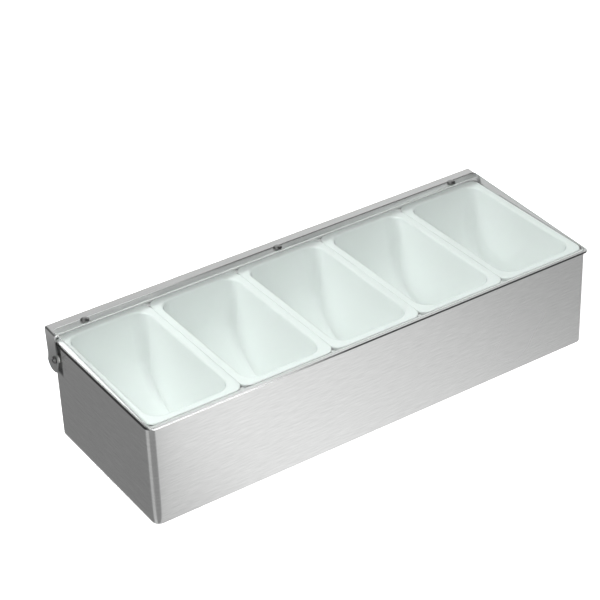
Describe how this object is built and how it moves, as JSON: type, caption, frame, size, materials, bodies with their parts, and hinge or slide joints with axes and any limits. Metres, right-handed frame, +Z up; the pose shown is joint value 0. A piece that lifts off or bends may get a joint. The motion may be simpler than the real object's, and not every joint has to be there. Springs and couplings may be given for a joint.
{
  "type": "condiment caddy",
  "caption": "Countertop condiment caddy: a long folded-steel housing with lift-out moulded trays in a row under a clear flat lid hinged along the back.",
  "frame": {"origin": "centre of the housing's underside, on the surface it stands on", "axes": "+X along the row of trays to the right, +Y from the front to the hinge at the back, +Z up"},
  "size_m": [0.471, 0.1771, 0.1096],
  "materials": {
    "housing_steel": "fine horizontal brushing",
    "pan_steel": "plain mill finish",
    "tray_plastic": "glossy moulded, white with a faint green tint",
    "rail_steel": "fine brushing along its length",
    "lid_clear": "clear acrylic with polished edges",
    "fastener_steel": "bright plain steel",
    "washer_nylon": "natural nylon"
  },
  "bodies": {
    "caddy": {"housing": "housing_steel", "base_pan": "pan_steel", "tray_1": "tray_plastic", "tray_2": "tray_plastic", "tray_3": "tray_plastic", "tray_4": "tray_plastic", "tray_5": "tray_plastic", "pivot_screw_left": "fastener_steel", "pivot_screw_right": "fastener_steel", "washer_left": "washer_nylon", "washer_right": "washer_nylon", "nut_left": "fastener_steel", "nut_right": "fastener_steel"},
    "lid_assembly": {"lid": "lid_clear", "hinge_rail": "rail_steel", "lid_rivet_1": "fastener_steel", "lid_rivet_2": "fastener_steel", "lid_rivet_3": "fastener_steel"}
  },
  "joints": [
    {"name": "lid_hinge", "type": "hinge", "parent": "caddy", "child": "lid_assembly", "pos_m": [0, 0.072, 0.0824], "axis": [-1, 0, 0], "range_deg": [0, 115]}
  ]
}
